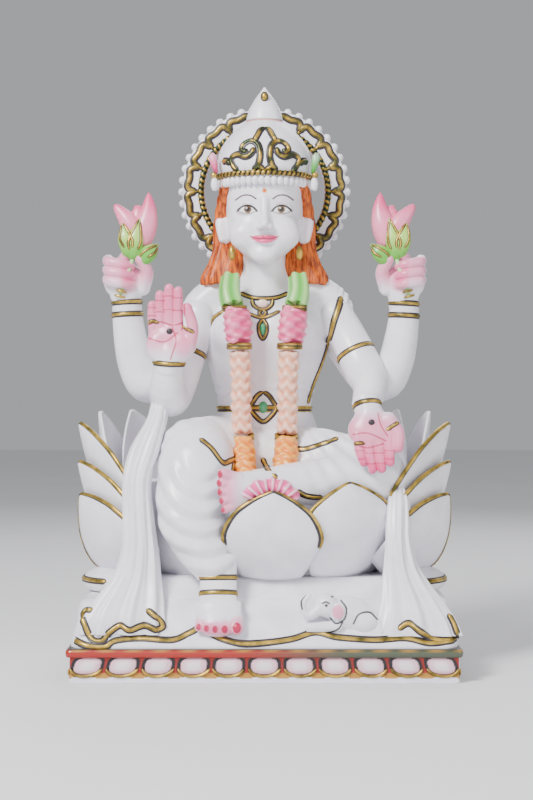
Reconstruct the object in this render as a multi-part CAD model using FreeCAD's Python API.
# Four-armed goddess statue of painted white marble, seated on a lotus above a carved plinth.
# Millimetres. X runs to the viewer's right, Y away from the viewer, Z up.
# The origin is the middle of the plinth's underside. "Right" and "left" in a node's name are the
# figure's own, so the figure's right side lies at negative X.
import FreeCAD, Part

import math
import os

# Driving dimensions.
HEIGHT = 457.0
PLINTH_W = 294.0
PLINTH_D = 190.0
PLINTH_H = 25.0
PLINTH_CORNER = 6.0
RELIEF = 1.3
RAIL_H = 6.0
SCALLOP_LOW = 6.0
SCALLOPS_FRONT = 11
SCALLOPS_SIDE = 7
RIB = 3.4

TIER_Z = 53.0
SEAT_LOW_Z = 74.0
SEAT_Z = 146.0
SEAT_Y = 8.0
WAIST_Z = 203.0
SHOULDER_Z = 292.0
CHIN_Z = 318.0
HEAD_Z = 356.0
CROWN_Z = 387.0
CROWN_TOP_Z = 433.0
HEAD_Y = 6.0
HALO_Z = 379.0
HALO_Y = 46.0
HALO_T = 10.0
HALO_IN = 50.0
HALO_OUT = 67.0
HALO_BEADS = 44
HALO_CELLS = 18
FRINGE_BEADS = 30

SECTION_POINTS = 12
DOME = ((0.55, 0.83), (0.85, 0.52), (0.98, 0.2))  # how far past the end, and how wide, in radii
PETAL_STEPS = (0.0, 0.2, 0.42, 0.64, 0.82, 0.94, 1.0)
PETAL_WIDTHS = (0.62, 0.86, 1.0, 0.9, 0.58, 0.25, 0.05)

shapes = {}


def vec(p):
    return FreeCAD.Vector(*p)


def mirror_x(points):
    """The same rows with the first number's sign changed."""
    return [(-row[0],) + tuple(row[1:]) for row in points]


def closed_wire(points):
    """A smooth closed wire through the points."""
    curve = Part.BSplineCurve()
    curve.interpolate(Points=points, PeriodicFlag=True)
    return Part.Wire([curve.toShape()])


def oval(centre, u, v, ru, rv):
    """An oval wire with half-widths ru and rv along the unit vectors u and v."""
    points = []
    for i in range(SECTION_POINTS):
        a = 2 * math.pi * i / SECTION_POINTS
        points.append(centre + u * (ru * math.cos(a)) + v * (rv * math.sin(a)))
    return closed_wire(points)


def loft(wires):
    """A smooth solid through the wires, in order."""
    solid = Part.makeLoft(wires, True, False, False, 3)
    if solid.Volume < 0:
        solid.reverse()
    return solid


def limb(rows, side=(1, 0, 0), domes=(True, True)):
    """A rounded bar through rows of (x, y, z, half-width along side, other half-width)."""
    centres = [vec(row[:3]) for row in rows]
    last = len(rows) - 1
    wires = []
    for i, row in enumerate(rows):
        along = centres[min(i + 1, last)] - centres[max(i - 1, 0)]
        along.normalize()
        across = vec(side)
        across = across - along * across.dot(along)
        across.normalize()
        other = along.cross(across)
        ru, rv = row[3], row[4]
        wires.append(oval(centres[i], across, other, ru, rv))
        if i in (0, last) and domes[0 if i == 0 else 1]:
            out = along * (-1 if i == 0 else 1)
            reach = min(ru, rv)
            caps = [oval(centres[i] + out * (reach * d), across, other, ru * w, rv * w) for d, w in DOME]
            wires = caps[::-1] + wires if i == 0 else wires + caps
    return loft(wires)


def stack(rows):
    """A loft of level ovals through rows of (z, centre x, centre y, half-width x, half-width y)."""
    x, y = vec((1, 0, 0)), vec((0, 1, 0))
    return loft([oval(vec((cx, cy, z)), x, y, rx, ry) for z, cx, cy, rx, ry in rows])


def ellipsoid(centre, radii, turn=0.0, axis=(0, 1, 0)):
    """An ellipsoid, turned by degrees about an axis through its middle."""
    matrix = FreeCAD.Matrix()
    matrix.scale(*radii)
    ball = Part.makeSphere(1.0).transformGeometry(matrix)
    ball.Placement = FreeCAD.Placement(vec(centre), FreeCAD.Rotation(vec(axis), turn))
    return ball


def level_ring(centre, rx, ry, wall, height):
    """An upright oval band of the given wall."""
    z0 = centre[2] - height / 2
    x, y = vec((1, 0, 0)), vec((0, 1, 0))
    solids = []
    for grow in (wall, 0):
        face = Part.Face(oval(vec((centre[0], centre[1], z0)), x, y, rx + grow, ry + grow))
        solids.append(face.extrude(vec((0, 0, height))))
    return solids[0].cut(solids[1])


def bracelet(centre, along, rx, ry, wall, height):
    """An oval band round a limb that runs along a direction."""
    ring = level_ring((0, 0, 0), rx, ry, wall, height)
    turn = FreeCAD.Rotation(vec((0, 0, 1)), vec(along))
    ring.Placement = FreeCAD.Placement(vec(centre), turn)
    return ring


def petal_lines(root, tip, bulge, width, cup):
    """Middle points, half-widths and directions of a petal, row by row from root to tip."""
    root, tip, bulge = vec(root), vec(tip), vec(bulge)
    middle = (root + tip) * 0.5 + bulge
    outward = bulge * 1.0
    outward.normalize()
    rows = []
    for t, w in zip(PETAL_STEPS, PETAL_WIDTHS):
        centre = root * ((1 - t) ** 2) + middle * (2 * t * (1 - t)) + tip * (t * t)
        along = (middle - root) * (1 - t) + (tip - middle) * t
        along.normalize()
        side = along.cross(outward)
        side.normalize()
        normal = side.cross(along)
        rows.append((centre, side, normal, w * width / 2, cup * w))
    return rows


def petal(root, tip, bulge, width, cup, thick):
    """A pointed plate that bulges outward and whose edges curl back by cup."""
    wires = []
    for centre, side, normal, half, curl in petal_lines(root, tip, bulge, width, cup):
        depth = min(thick, half * 1.2)
        points = []
        for face, order in ((1, (-1, -0.5, 0, 0.5, 1)), (-1, (1, 0.5, 0, -0.5, -1))):
            for u in order:
                lift = face * depth / 2 * (1 - 0.5 * u * u)
                points.append(centre + side * (half * u) + normal * (lift - curl * u * u))
        wires.append(Part.makePolygon(points + points[:1]))
    solid = Part.makeLoft(wires, True, True)
    if solid.Volume < 0:
        solid.reverse()
    return solid


def petal_edge(root, tip, bulge, width, cup, radius, start):
    """A six-sided bead of straight runs along a petal's rim, on both sides of its tip."""
    rows = petal_lines(root, tip, bulge, width, cup)[start:]
    last = len(rows) - 1
    beads = []
    for sign in (-1, 1):
        line = [c + s * (sign * h) - n * k for c, s, n, h, k in rows]
        wires = []
        for i, point in enumerate(line):
            along = line[min(i + 1, last)] - line[max(i - 1, 0)]
            along.normalize()
            normal = rows[i][2]
            across = normal - along * normal.dot(along)
            across.normalize()
            other = along.cross(across)
            turns = [k * math.pi / 3 for k in range(6)]
            corners = [point + across * (radius * math.cos(a)) + other * (radius * math.sin(a)) for a in turns]
            wires.append(Part.makePolygon(corners + corners[:1]))
        bead = Part.makeLoft(wires, True, True)
        if bead.Volume < 0:
            bead.reverse()
        beads.append(bead)
    return beads


def bar(points, radius, side=(0, 1, 0)):
    """A thin rounded strip along points."""
    return limb([tuple(p) + (radius, radius) for p in points], side=side)


def front_y(names, x, z):
    """How far forward the named nodes reach at a given x and height."""
    ray = Part.makeLine(vec((x, -150, z)), vec((x, 150, z)))
    reach = [corner.Y for name in names for corner in shapes[name].common(ray).Vertexes]
    return min(reach) if reach else None


def laid_on(names, points, radius):
    """A rounded strip that follows (x, z) points over the front of the named nodes."""
    line = [(x, front_y(names, x, z), z) for x, z in points]
    return bar([(x, y - 0.4 * radius, z) for x, y, z in line if y is not None], radius)


def carve(solid, tools):
    """The solid without the tools' volume; a cut that fails leaves it as it was."""
    near = [tool for tool in tools if solid.BoundBox.intersect(tool.BoundBox)]
    if not near:
        return solid
    rest = solid.cut(near)
    return rest if rest.Solids and rest.isValid() else solid


def add(name, *solids, cut_by=()):
    """Stores a node, after taking its neighbours' volume out of each solid."""
    tools = [tool for other in cut_by for tool in shapes[other].Solids]
    kept = []
    for solid in solids:
        kept.extend(piece for piece in carve(solid, tools).Solids if piece.Volume > 1.0)
    shapes[name] = kept[0] if len(kept) == 1 else Part.makeCompound(kept)


# Plinth with its carved border.

def plinth():
    w, d = PLINTH_W - 2 * RELIEF, PLINTH_D - 2 * RELIEF
    slab = Part.makeBox(w, d, PLINTH_H, vec((-w / 2, -d / 2, 0)))
    upright = [e for e in slab.Edges if abs(e.tangentAt(e.FirstParameter).z) > 0.9]
    add("plinth_slab", slab.makeFillet(PLINTH_CORNER, upright))


def rail():
    """The raised band along the plinth's top edge, all the way round."""
    z0 = PLINTH_H - RAIL_H - 0.5
    rings = []
    for grow in (RELIEF, 0):
        w, d = PLINTH_W - 2 * RELIEF + 2 * grow, PLINTH_D - 2 * RELIEF + 2 * grow
        block = Part.makeBox(w, d, RAIL_H, vec((-w / 2, -d / 2, z0)))
        upright = [e for e in block.Edges if abs(e.tangentAt(e.FirstParameter).z) > 0.9]
        rings.append(block.makeFillet(PLINTH_CORNER + grow, upright))
    add("plinth_top_rail", rings[0].cut(rings[1]))


def scallop(width, lean):
    """One U-shaped rib, upright in the XZ plane, from the rail down to its round foot."""
    top = PLINTH_H - RAIL_H - 0.5
    foot = SCALLOP_LOW
    half = width / 2
    outer = [(-half + lean, top), (-half, foot + 4), (0, foot), (half, foot + 4), (half + lean, top)]
    inner = [(half - RIB / 2 + lean, top), (half - RIB * 0.8, foot + 5.5), (0, foot + RIB * 0.8),
             (-half + RIB * 0.8, foot + 5.5), (-half + RIB / 2 + lean, top)]
    edges = []
    for line in (outer, inner):
        a, b, c, d, e = [vec((x, 0, z)) for x, z in line]
        edges += [Part.makeLine(a, b), Part.Arc(b, c, d).toShape(), Part.makeLine(d, e)]
    edges.insert(3, Part.makeLine(edges[2].Vertexes[-1].Point, edges[3].Vertexes[0].Point))
    edges.append(Part.makeLine(edges[-1].Vertexes[-1].Point, edges[0].Vertexes[0].Point))
    return Part.Face(Part.Wire(edges)).extrude(vec((0, RELIEF, 0)))


def scallops():
    ribs = []
    sides = ((PLINTH_W, PLINTH_D / 2, SCALLOPS_FRONT), (PLINTH_D, PLINTH_W / 2, SCALLOPS_SIDE))
    for length, reach, count in sides:
        pitch = (length - 2 * PLINTH_CORNER) / count
        for i in range(count):
            offset = i - (count - 1) / 2
            rib = scallop(pitch - 0.1, 0)
            rib.translate(vec((offset * pitch, -reach, 0)))
            start = 0 if length == PLINTH_W else 90
            for turn in (start, start + 180):
                copy = rib.copy()
                copy.rotate(vec((0, 0, 0)), vec((0, 0, 1)), turn)
                ribs.append(copy)
    add("plinth_scallop_ribs", *ribs)


# Foot platform: a rock that slopes up from the plinth to the lotus.

def rounded_outline(z, half_x, front, back, r):
    """A level rectangle with rounded corners, as a closed wire."""
    edges = []
    corners = ((half_x, front, 1, -1), (half_x, back, 1, 1), (-half_x, back, -1, 1), (-half_x, front, -1, -1))
    ends = []
    for x, y, sx, sy in corners:
        hub = vec((x - sx * r, y - sy * r, z))
        entry, leave = hub + vec((sx * r, 0, 0)), hub + vec((0, sy * r, 0))
        if sx != sy:
            entry, leave = leave, entry
        middle = hub + vec((sx, sy, 0)) * (r * math.sqrt(0.5))
        ends.append((entry, middle, leave))
    for i, (entry, middle, leave) in enumerate(ends):
        edges.append(Part.Arc(entry, middle, leave).toShape())
        edges.append(Part.makeLine(leave, ends[(i + 1) % 4][0]))
    return Part.Wire(edges)


def platform():
    r = 8.0
    lower = Part.makeLoft([rounded_outline(PLINTH_H, 145, -91, 91, r),
                           rounded_outline(TIER_Z, 142, -66, 90, r)], True, True)
    upper = Part.makeLoft([rounded_outline(TIER_Z, 104, -66, 84, r),
                           rounded_outline(SEAT_LOW_Z, 96, -50, 80, r)], True, True)
    add("foot_platform", lower.fuse(upper).removeSplitter())


def platform_hem():
    """Gilt wavy border low on the platform's front slope."""
    line = [(-112, 29), (-100, 31.5), (-66, 31), (-56, 36), (-49, 41), (-36, 37), (-7, 29),
            (12, 34), (30, 38.5), (60, 33.5), (92, 32)]
    add("platform_gold_hem", laid_on(["foot_platform"], line, 2.0), cut_by=["foot_platform"])


def lower_petals():
    """Blunt petals lying on the platform at each side, below the lotus."""
    rows = [(-97, 10, 66, 34, 8), (-116, 8, 66, 40, 10), (-131, 6, 64.5, 38, 10.5), (-137, 5, 63.5, 34, 9)]
    right = limb(rows, side=(0, 1, 0))
    left = limb(mirror_x(rows), side=(0, 1, 0))
    add("lower_petal_right", right, cut_by=["foot_platform"])
    add("lower_petal_left", left, cut_by=["foot_platform"])


# Lotus seat.

def lotus():
    y = SEAT_Y
    add("lotus_bowl", stack([
        (SEAT_LOW_Z, 0, y, 88, 54), (84, 0, y, 98, 63), (100, 0, y, 106, 70),
        (122, 0, y, 109, 73), (138, 0, y, 107, 71), (SEAT_Z, 0, y, 101, 67)]))


FRONT_PETALS = (
    ((4, -52, 77), (5, -73, 140), (0, -20, 0), 92, 7),
    ((58, -46, 77), (63, -66, 145), (9, -19, 0), 86, 9),
)
SIDE_PETALS = (
    ((96, -34, 72), (140, -22, 117), (22, -8, -14), 62, 6),
    ((98, -26, 84), (142, -16, 140), (22, -6, -16), 66, 7),
    ((96, -14, 92), (136, -20, 172), (24, -6, -12), 70, 8),
    ((92, 14, 92), (141, 6, 184), (26, 2, -14), 72, 9),
    ((78, 40, 96), (116, 38, 196), (22, 14, -14), 74, 10),
)
REAR_PETALS = (
    ((0, 60, 80), (0, 88, 178), (0, 20, -10), 84, 9),
    ((-50, 54, 80), (-62, 82, 172), (-8, 18, -10), 80, 9),
    ((50, 54, 80), (62, 82, 172), (8, 18, -10), 80, 9),
    ((-82, 34, 76), (-108, 58, 150), (-20, 14, -10), 72, 8),
    ((82, 34, 76), (108, 58, 150), (20, 14, -10), 72, 8),
)
PETAL_T = 4.2


def petals():
    def flipped(row):
        root, tip, bulge, width, cup = row
        return ((-root[0],) + root[1:], (-tip[0],) + tip[1:], (-bulge[0],) + bulge[1:], width, cup)
    right = [flipped(row) for row in SIDE_PETALS]
    add("front_petals", *[petal(*row, PETAL_T) for row in FRONT_PETALS], cut_by=["lotus_bowl", "foot_platform"])
    add("left_side_petals", *[petal(*row, PETAL_T) for row in SIDE_PETALS], cut_by=["lotus_bowl"])
    add("right_side_petals", *[petal(*row, PETAL_T) for row in right], cut_by=["lotus_bowl"])
    add("rear_petals", *[petal(*row, PETAL_T) for row in REAR_PETALS], cut_by=["lotus_bowl"])
    beads = []
    gilt = [(row, 1.5) for row in FRONT_PETALS] + [(row, 1.4) for row in SIDE_PETALS[:4] + tuple(right[:4])]
    for row, radius in gilt:
        beads += petal_edge(*row, radius, start=3)
    add("petal_gold_edges", *beads)


# Seated figure below the waist.

def lower_body():
    lap = limb([(-34, 2, 158, 34, 28), (-6, -8, 160, 40, 27), (28, -12, 162, 42, 27),
                (60, -20, 160, 38, 25), (86, -26, 158, 28, 22)], side=(0, 1, 0))
    add("lap_drape", lap, cut_by=["lotus_bowl"])
    shin = limb([(-52, -40, 168, 34, 28), (-56, -58, 150, 39, 30), (-54, -66, 124, 38, 26),
                 (-46, -68, 100, 31, 20), (-37, -70, 84, 20, 14)], side=(1, 0, 0), domes=(True, False))
    add("right_leg_drape", shin, cut_by=["lap_drape", "lotus_bowl", "foot_platform"])


def feet():
    ankle = limb([(-35, -70, 84, 13, 10), (-35, -73, 70, 12.5, 10), (-35, -77, 56, 14, 9),
                  (-35, -81, 45, 16, 6)], domes=(False, True))
    toes = [limb([(-45 + 5 * i, -80, 48, 2.6, 3), (-46.5 + 5.6 * i, -85, 40.5 - 0.3 * i, 2.9 + 0.25 * i, 3)])
            for i in range(5)]
    right = ankle.fuse(toes)
    add("right_foot", right, cut_by=["right_leg_drape", "foot_platform"])
    sole = limb([(-12, -70, 146, 12, 7), (-24, -78, 145, 16, 7), (-32, -82, 143, 17, 6)], side=(0, 0, 1))
    toes = [limb([(-30 - i, -82, 155 - 7 * i, 3.2, 3.2), (-38 + abs(2 - i), -84, 156 - 7.4 * i, 3.4, 3.2)])
            for i in range(5)]
    left = sole.fuse(toes)
    add("left_foot", left, cut_by=["right_leg_drape", "lap_drape", "front_petals"])
    add("anklets",
        bracelet((-35, -71, 77), (0, 0.1, 1), 13.4, 10.6, 1.6, 4),
        bracelet((-35, -75, 65), (0, 0.25, 1), 14.2, 10.6, 1.6, 4.5),
        cut_by=["right_foot", "right_leg_drape", "foot_platform"])


def sari_borders():
    """Gilt hems of the sari at the left foot, the hip and the knee."""
    cloth = ["lap_drape", "right_leg_drape", "torso"]
    lines = ([(-50, 182), (-42, 173), (-35, 163), (-28, 162)], [(-24, 157), (-23, 146), (-12, 130)],
             [(24, 171), (40, 173), (54, 178)], [(-2, 164), (6, 156), (12, 149)])
    add("sari_gold_borders", *[laid_on(cloth, line, 1.8) for line in lines], cut_by=cloth)


# Torso and ornaments.

def torso():
    y = 14
    body = stack([(154, 0, y - 4, 52, 34), (172, 0, y - 2, 50, 33), (188, 0, y, 44, 29), (WAIST_Z, 0, y, 41, 27),
                  (220, 0, y, 44, 28), (242, 2, y - 1, 51, 32), (262, 3, y, 57, 32), (278, 3, y + 2, 58, 28),
                  (SHOULDER_Z, 2, y + 3, 46, 21), (301, 0, y + 2, 24, 17), (306, 0, y, 18, 15)])
    add("torso", body, cut_by=["lap_drape", "lotus_bowl"])
    fold = [(40, 291), (46, 280), (50, 264), (49, 246), (44, 226), (37, 208)]
    add("sari_pallu_border", laid_on(["torso"], fold, 2.2), cut_by=["torso"])
    belt = level_ring((0, y, 204), 42.5, 28.0, 1.6, 5)
    add("waist_belt", belt, cut_by=["torso"])
    add("belt_buckle", ellipsoid((-1, y - 28, 203), (8, 3.6, 13)), cut_by=["torso", "waist_belt"])


def necklace():
    """A close chain with a half-moon pendant and a drop below it."""
    chain = laid_on(["torso"], [(-19, 291), (-10, 288), (0, 287), (10, 288), (19, 291)], 1.5)
    lower = laid_on(["torso"], [(-17, 278), (-8, 274), (0, 272), (9, 274), (15, 277)], 1.3)
    add("necklace", chain, lower, cut_by=["torso"])
    moon = ellipsoid((-1, front_y(["torso"], -1, 281), 281), (8.5, 3.2, 5))
    drop = ellipsoid((-1, front_y(["torso"], -1, 261), 261), (5, 3.2, 8))
    add("necklace_pendant", moon, drop, cut_by=["torso", "necklace"])


# Head, hair and crown.

def head():
    neck = stack([(298, 0, 10, 19, 17), (308, 0, 9, 17, 16), (318, 0, 9, 17, 17), (330, 0, 8, 18, 18)])
    skull = stack([(CHIN_Z, 0, -12, 7, 6), (321, 0, -8, 16, 15), (330, 0, -2, 24, 24), (342, 0, 2, 29.5, 30),
                   (356, 0, 4, 32, 33), (370, 0, 5, 32.5, 34), (CROWN_Z, 0, 6, 31.5, 33)])
    nose = ellipsoid((0, -28, 350), (4.6, 6.5, 10))
    ears = [limb([(x, 6, 350, 3.0, 5), (x * 1.03, 8, 360, 3.4, 6.5)], side=(1, 0, 0)) for x in (-33, 33)]
    whole = skull.fuse([neck, nose] + ears)
    add("head", whole, cut_by=["torso"])


def hair():
    y = HEAD_Y
    cap = stack([(290, 0, 34, 40, 18), (304, 0, 32, 40, 20), (320, 0, 26, 37, 23), (340, 0, 19, 38, 24),
                 (362, 0, 15, 38, 29), (378, 0, 10, 35, 31), (CROWN_Z - 0.7, 0, y, 32.5, 33)])
    falls = [limb([(x * 33, 4, 372, 4.5, 9), (x * 36.5, 10, 345, 5, 11), (x * 35, 12, 320, 9, 11),
                   (x * 36, 12, 300, 13, 10)], domes=(True, False)) for x in (-1, 1)]
    add("hair", cap, *[carve(fall, [cap]) for fall in falls], cut_by=["head", "torso"])


def crown():
    y = HEAD_Y
    dome = stack([(CROWN_Z + 4, 0, y, 38, 37), (402, 0, y + 1, 41, 38), (414, 0, y + 1, 38, 34),
                  (424, 0, y + 1, 29, 26), (431, 0, y + 1, 18, 17), (CROWN_TOP_Z, 0, y + 1, 14, 14)])
    add("crown_dome", dome, cut_by=["head", "hair"])
    band = level_ring((0, y, CROWN_Z + 4), 38.5, 37.5, 2.2, 6)
    add("crown_band", band, cut_by=["crown_dome", "head", "hair"])
    beads = []
    for i in range(FRINGE_BEADS):
        a = 2 * math.pi * i / FRINGE_BEADS
        beads.append(Part.makeSphere(3.5, vec((36.8 * math.cos(a), y + 37.2 * math.sin(a), CROWN_Z - 3.5))))
    add("crown_bead_fringe", *beads)
    add("tiara_scrollwork", *tiara(), cut_by=["crown_dome", "crown_band"])
    tip = HEIGHT
    cone = Part.makeCone(14, 1.2, tip - CROWN_TOP_Z, vec((0, y + 1, CROWN_TOP_Z)))
    add("crown_finial", cone)
    gem = ellipsoid((0, y - 5.5, 449), (2.6, 2.0, 3.2))
    add("finial_gem", gem, cut_by=["crown_finial"])
    bits = []
    for x in (-1, 1):
        bits.append(limb([(x * 43, y - 14, 398, 3, 5), (x * 43.5, y - 14, 410, 3, 4)]))
        bits.append(Part.makeSphere(2.6, vec((x * 42.5, y - 16, 391))))
        bits.append(limb([(x * 43, y - 16, 384, 2.6, 2.6), (x * 43, y - 16, 377, 2.4, 2.4)]))
    add("crown_side_ornaments", *bits)


def crown_front(x, z):
    """The point on the crown's front at a given x and height."""
    profile = ((391, 37.5), (402, 38.5), (414, 34.5), (424, 26.5), (431, 17.5), (434, 13))
    depth = profile[-1][1]
    for (z0, d0), (z1, d1) in zip(profile, profile[1:]):
        if z0 <= z <= z1:
            depth = d0 + (d1 - d0) * (z - z0) / (z1 - z0)
    bulge = math.sqrt(max(0.05, 1 - (x / (depth + 3.5)) ** 2))
    return (x, HEAD_Y + 1 - depth * bulge - 0.6, z)


def tiara():
    """Gilt scrolls on the crown's front: a pointed arch with two S-shaped sprays each side."""
    pieces = []
    arch = [(-8.5, 396), (-5, 403), (-4.5, 411), (-7, 418), (-4, 424), (0, 428.5)]
    spray = [(-8.5, 396), (-16, 394), (-25, 396), (-27, 402), (-23, 407), (-16, 406), (-11, 409),
             (-12, 414), (-17, 415)]
    for sign in (-1, 1):
        for line in (arch, spray):
            pieces.append(bar([crown_front(-sign * x, z) for x, z in line], 1.7))
    return pieces


def halo():
    """An upright ring behind the head, beaded outside, with a rope round its opening."""
    def tube_ring(radius, tube, y):
        return Part.makeTorus(radius, tube, vec((0, y, HALO_Z)), vec((0, 1, 0)))
    start = vec((0, HALO_Y, HALO_Z))
    plate = Part.makeCylinder(HALO_OUT, HALO_T, start, vec((0, 1, 0)))
    hole = Part.makeCylinder(HALO_IN - 1.5, HALO_T, start, vec((0, 1, 0)))
    beads = []
    for i in range(HALO_BEADS):
        a = 2 * math.pi * i / HALO_BEADS
        centre = vec((HALO_OUT * math.cos(a), HALO_Y + 1, HALO_Z + HALO_OUT * math.sin(a)))
        beads.append(Part.makeCylinder(3.6, HALO_T - 2, centre, vec((0, 1, 0))))
    add("halo_ring", plate.fuse(beads).cut(hole).removeSplitter(), cut_by=["hair", "torso"])
    rope = tube_ring(HALO_IN + 0.8, 2.2, HALO_Y - 1)
    add("halo_rope", rope, cut_by=["halo_ring", "hair", "crown_dome", "torso"])
    arches = []
    step = 2 * math.pi / HALO_CELLS
    for i in range(HALO_CELLS):
        a = math.pi / 2 + i * step
        line = []
        for turn, radius in ((-0.46, 56), (-0.4, 61), (-0.2, 63.6), (0, 64.4), (0.2, 63.6), (0.4, 61), (0.46, 56)):
            b = a + turn * step
            line.append((radius * math.cos(b), HALO_Y - 0.4, HALO_Z + radius * math.sin(b)))
        arches.append(bar(line, 1.1))
    add("halo_gold_arches", *arches, cut_by=["halo_ring", "hair", "torso"])


def earrings():
    drops = [ellipsoid((x * 31, -2, 326), (2.4, 2.6, 6), 10 * x) for x in (-1, 1)]
    add("earrings", *drops, cut_by=["head", "hair"])


# Garland: two strands down the chest that meet in a flower in the lap.

RIGHT_STRAND = {
    "green": [(-27, -6, 306, 7.5, 5.5), (-26, -13, 294, 8, 6), (-23, -17, 284, 8.5, 6)],
    "pink": [(-22, -20, 276, 9.5, 7.5), (-21, -24, 265, 10, 8), (-20, -25, 254, 9.5, 7.5)],
    "peach": [(-19, -25, 244, 7.5, 6), (-18, -22, 222, 7.2, 6), (-18, -22, 200, 7.2, 6), (-17.5, -24, 184, 7, 6)],
    "orange": [(-17, -27, 172, 8, 6.5), (-16, -37, 160, 9, 7), (-15, -50, 150, 9, 7), (-12, -60, 142, 8, 6.5)],
}
STRAND_JOINTS = ((-22.5, -19, 280, 8.5, 6), (-19.5, -25.5, 249, 8, 6.5), (-17.2, -25.5, 178, 7.6, 6.3),
                 (-11, -66, 136, 7.8, 6.5))


def garland():
    order = ("green", "pink", "peach", "orange")
    behind = {"green": ["torso"], "pink": ["torso", "garland_green"], "peach": ["torso", "garland_pink"],
              "orange": ["torso", "lap_drape", "garland_peach"]}
    for name in order:
        rows = RIGHT_STRAND[name]
        add("garland_" + name, limb(rows), limb(mirror_x(rows)), cut_by=behind[name])
    bands = []
    for x, y, z, ru, rv in STRAND_JOINTS:
        for sign in (1, -1):
            bands.append(limb([(sign * x, y, z + 2, ru, rv), (sign * x, y, z - 2, ru, rv)]))
    add("garland_gold_bands", *bands, cut_by=["torso", "lap_drape"] + ["garland_" + name for name in order])
    flower = limb([(-14, -76, 137, 9, 7), (0, -80, 142, 8, 6), (22, -78, 139, 9, 7)], side=(0, 0, 1))
    add("garland_flower", flower, cut_by=["lap_drape", "garland_orange", "garland_gold_bands", "left_foot"])


# Arms and hands.

ARM_ROWS = {
    "rear_right": [(-44, 22, 276, 14, 14), (-62, 16, 250, 15, 15), (-80, 10, 226, 16, 15), (-94, 5, 222, 15, 14),
                   (-101, 3, 238, 14.5, 13.5), (-105, 2, 258, 14, 12.5), (-107, 1, 274, 13, 11.5),
                   (-108, 0, 284, 12.5, 10.5)],
    "rear_left": [(46, 22, 276, 14, 14), (64, 16, 252, 15, 15), (82, 10, 228, 16, 15), (96, 5, 224, 15, 14),
                  (104, 3, 240, 14.5, 13.5), (108, 2, 258, 14, 12.5), (110, 1, 274, 13, 11.5),
                  (110, 0, 284, 12.5, 10.5)],
    "front_right": [(-52, 6, 276, 15, 15), (-60, 0, 250, 15, 16), (-68, -6, 224, 15, 17), (-74, -20, 210, 15, 15),
                    (-75, -36, 216, 14.5, 12), (-73, -46, 236, 13.5, 8.5)],
    "front_left": [(56, 6, 276, 15, 15), (68, 0, 254, 15, 16), (79, -10, 232, 15, 16), (82, -26, 220, 14, 13),
                   (77, -41, 208, 12.5, 8.5)],
}


def arms():
    for name, rows in ARM_ROWS.items():
        before = {"front_right": ["rear_right_arm"], "front_left": ["rear_left_arm"]}.get(name, [])
        add(name + "_arm", limb(rows, side=(1, 0, 0), domes=(True, False)),
            cut_by=["torso", "hair"] + before)


def hand_up():
    """Right palm shown with its fingers up."""
    x, y = -72, -47
    palm = limb([(x, y, 236, 13.5, 7.5), (x + 1, y - 1, 248, 17, 7), (x + 1, y - 1, 262, 18, 6)], domes=(False, True))
    tops = ((-13.5, 282), (-6, 290), (2, 296), (10, 294))
    fingers = [limb([(x + dx * 1.05 + 1, y - 1, 262, 4.4, 4.4), (x + dx, y - 1, top - 4.2, 4.0, 4.0)])
               for dx, top in tops]
    thumb = limb([(x + 16, y - 2, 250, 5.5, 5.2), (x + 21, y - 3, 262, 4.4, 4.2), (x + 19, y - 3, 274, 3.8, 3.8)])
    return palm.fuse(fingers + [thumb])


def hand_down():
    """Left palm shown with its fingers down."""
    x, y = 81, -52
    palm = limb([(77, -42, 207, 12.5, 8), (x, y, 195, 16, 7.5), (x + 2, y - 4, 180, 17.5, 6.5)], domes=(False, True))
    ends = ((-12.5, 158), (-4.5, 153), (3.5, 154), (11, 161))
    fingers = [limb([(x + dx + 2, y - 5, 180, 4.3, 4.2), (x + dx + 4, y - 8, low + 4.2, 3.9, 3.9)])
               for dx, low in ends]
    thumb = limb([(x + 14, y - 2, 193, 5.2, 5), (x + 21, y - 5, 184, 4.6, 4.4), (x + 21, y - 7, 176, 4, 4)])
    return palm.fuse(fingers + [thumb])


def hand_holding(sign):
    """A half-closed hand at shoulder height that pinches a lotus stem."""
    x = sign * 108 + (2 if sign > 0 else 0)
    palm = limb([(x, 0, 284.4, 12.5, 10.5), (x, -2, 296, 17, 11), (x + sign * 1, -2, 308, 17, 11)], domes=(False, True))
    curled = [limb([(x + sign * (15 - 6 * i), -6, 309 + 2.2 * i, 4.6, 4.6), (x + sign * (14 - 6 * i), -15, 305 + 3 * i, 4.4, 4.4)])
              for i in range(3)]
    index = limb([(x - sign * 4, -4, 312, 5, 5), (x - sign * 3, -12, 323, 4.4, 4.4), (x + sign * 4, -13, 329, 4, 4)])
    thumb = limb([(x - sign * 14, -4, 298, 5.6, 5.6), (x - sign * 16, -8, 312, 4.8, 4.8), (x - sign * 9, -13, 322, 4.2, 4.2)])
    return palm.fuse(curled + [index, thumb])


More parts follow.
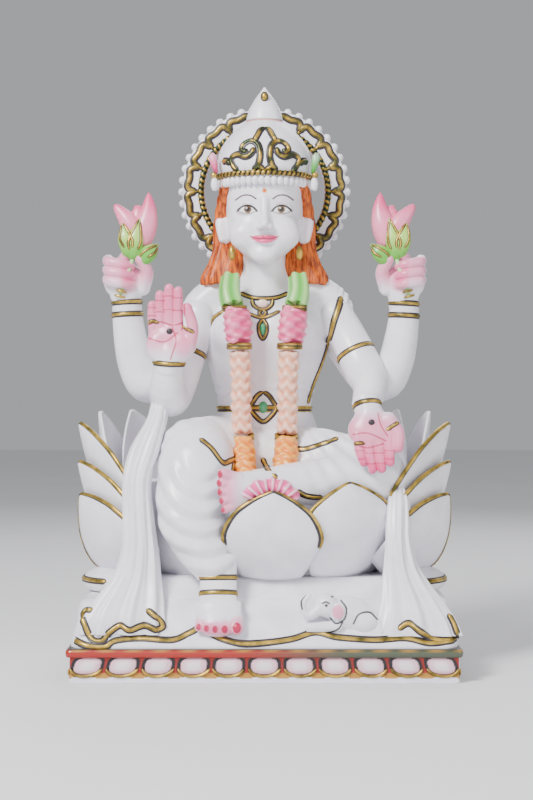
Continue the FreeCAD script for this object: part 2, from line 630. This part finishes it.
def hands():
    add("front_right_hand", hand_up(), cut_by=["front_right_arm"])
    add("front_left_hand", hand_down(), cut_by=["front_left_arm", "lap_drape"])
    add("rear_right_hand", hand_holding(-1))
    add("rear_left_hand", hand_holding(1))
    owners = [key + part for key in ARM_ROWS for part in ("_arm", "_hand")]
    add("bangles_and_armlets",
        bracelet((-107.5, 1, 285), (-0.05, 0, 1), 13.6, 12.0, 1.8, 4),
        bracelet((111, 1, 285), (0.05, 0, 1), 13.6, 12.0, 1.8, 4),
        bracelet((-73, -44.5, 234), (0.05, -0.1, 1), 14.2, 10.0, 1.8, 4),
        bracelet((77.5, -41, 209), (0.1, -0.35, -1), 13.6, 9.6, 1.8, 4),
        bracelet((72, -5, 246), (0.5, -0.35, -1), 15.6, 16.6, 1.6, 4.5),
        bracelet((-61, -1, 246), (-0.3, -0.22, -1), 15.8, 17.0, 1.6, 4.5),
        cut_by=owners + ["torso"])
    up, down = ["front_right_hand"], ["front_left_hand"]
    add("palm_studs_and_rings",
        laid_on(up, [(-74, 262), (-71, 262)], 3.0),
        laid_on(up, [(-88, 268), (-85, 268), (-82, 267)], 2.4),
        laid_on(up, [(-65, 264), (-60, 262), (-56, 260)], 2.4),
        laid_on(down, [(78, 193), (81, 193)], 3.0),
        laid_on(down, [(93, 187), (97, 189), (101, 191)], 2.4),
        laid_on(down, [(70, 176), (74, 177), (78, 178)], 2.4),
        cut_by=up + down)


def buds():
    """A lotus bud in each raised hand: closed pink petals over green sepals."""
    for name, s in (("lotus_bud_right", -1), ("lotus_bud_left", 1)):
        tall = limb([(s * 91, -8, 330, 10, 9), (s * 89, -7, 345, 11, 9), (s * 90, -6, 360, 8, 7),
                     (s * 92, -5, 370, 5, 5)])
        short = limb([(s * 97, -8, 336, 8, 8), (s * 107, -8, 350, 6.5, 6), (s * 115, -8, 358, 4.6, 4.5)])
        sepals = [limb([(s * 98, -14, 322, 7, 5), (s * 97, -16, 336, 8, 4), (s * 96, -15, 351, 2.5, 2.5)]),
                  limb([(s * 101, -12, 325, 5, 5), (s * 109, -14, 338, 4.6, 3.6), (s * 112, -13, 347, 2, 2)]),
                  limb([(s * 94, -12, 318, 7, 6), (s * 85, -12, 326, 7, 5), (s * 81, -12, 334, 3.5, 3)])]
        hand = "rear_right_hand" if s < 0 else "rear_left_hand"
        inner = [tall, carve(short, [tall])]
        add(name, *inner, *[carve(sepal, inner) for sepal in sepals], cut_by=[hand])


# Shawl ends, their hems, and the small elephant.

def shawls():
    right = limb([(-89, -22, 214, 7, 12), (-90, -34, 196, 9, 12), (-94, -44, 170, 14, 12), (-93, -50, 140, 14, 12),
                  (-92, -56, 110, 15, 12), (-94, -64, 80, 18, 12), (-101, -74, 52, 25, 10), (-108, -83, 34, 33, 6)],
                 side=(1, 0, 0), domes=(True, False))
    left = limb([(104, -38, 146, 7, 8), (101, -48, 132, 12, 11), (100, -52, 110, 14, 12), (101, -58, 84, 17, 12),
                 (110, -70, 56, 25, 10), (117, -82, 36, 30, 6)], side=(1, 0, 0), domes=(True, False))
    base = ["foot_platform", "lotus_bowl"]
    add("shawl_right", right, cut_by=base + ["right_side_petals", "right_leg_drape", "front_right_arm"])
    add("shawl_left", left, cut_by=base + ["left_side_petals", "lap_drape"])
    hem_right = [(-136, 30), (-128, 34), (-118, 29), (-108, 33), (-100, 37), (-90, 34), (-80, 36)]
    hem_left = [(98, 34), (108, 36), (120, 30), (132, 30), (138, 36)]
    add("shawl_gold_hems", laid_on(["shawl_right", "foot_platform"], hem_right, 2.0),
        laid_on(["shawl_left", "foot_platform"], hem_left, 2.0),
        cut_by=["shawl_right", "shawl_left", "foot_platform"])


def elephant():
    """A small elephant asleep on the platform, facing the figure's right."""
    x, y, z = 62, -74, 45
    body = ellipsoid((x + 3, y, z + 2), (20, 9, 11), 12)
    head_ball = ellipsoid((x - 19, y - 3, z + 4), (9.5, 8, 9.5))
    haunch = ellipsoid((x + 12, y - 6, z - 3), (10, 6, 9))
    leg = ellipsoid((x - 19, y - 7, z - 8), (14, 4.5, 4))
    trunk = limb([(x - 26, y - 4, z + 2, 4.4, 4), (x - 32, y - 5, z - 3, 4, 4), (x - 35, y - 5, z + 2, 3.4, 3.4),
                  (x - 33, y - 5, z + 9, 2.8, 2.8), (x - 28, y - 5, z + 12, 2.4, 2.4)], side=(0, 1, 0))
    ear = ellipsoid((x - 11, y - 8, z + 1), (5, 2.4, 7), 20)
    whole = body.fuse([head_ball, haunch, leg, trunk, ear])
    add("elephant", whole, cut_by=["foot_platform", "platform_gold_hem"])


def build():
    for make in (plinth, rail, scallops, platform, platform_hem, lower_petals, lotus, petals, lower_body,
                 feet, torso, sari_borders, necklace, head, hair, crown, halo, earrings, garland, arms, hands,
                 buds, shawls, elephant):
        make()


def export():
    os.makedirs("parts", exist_ok=True)
    for name, shape in shapes.items():
        shape.exportStep("parts/" + name + ".step")
        solids = shape.Solids
        print(name, len(solids), "solids", round(sum(s.Volume for s in solids)), "mm3",
              "valid" if shape.isValid() else "NOT VALID")


build()
export()
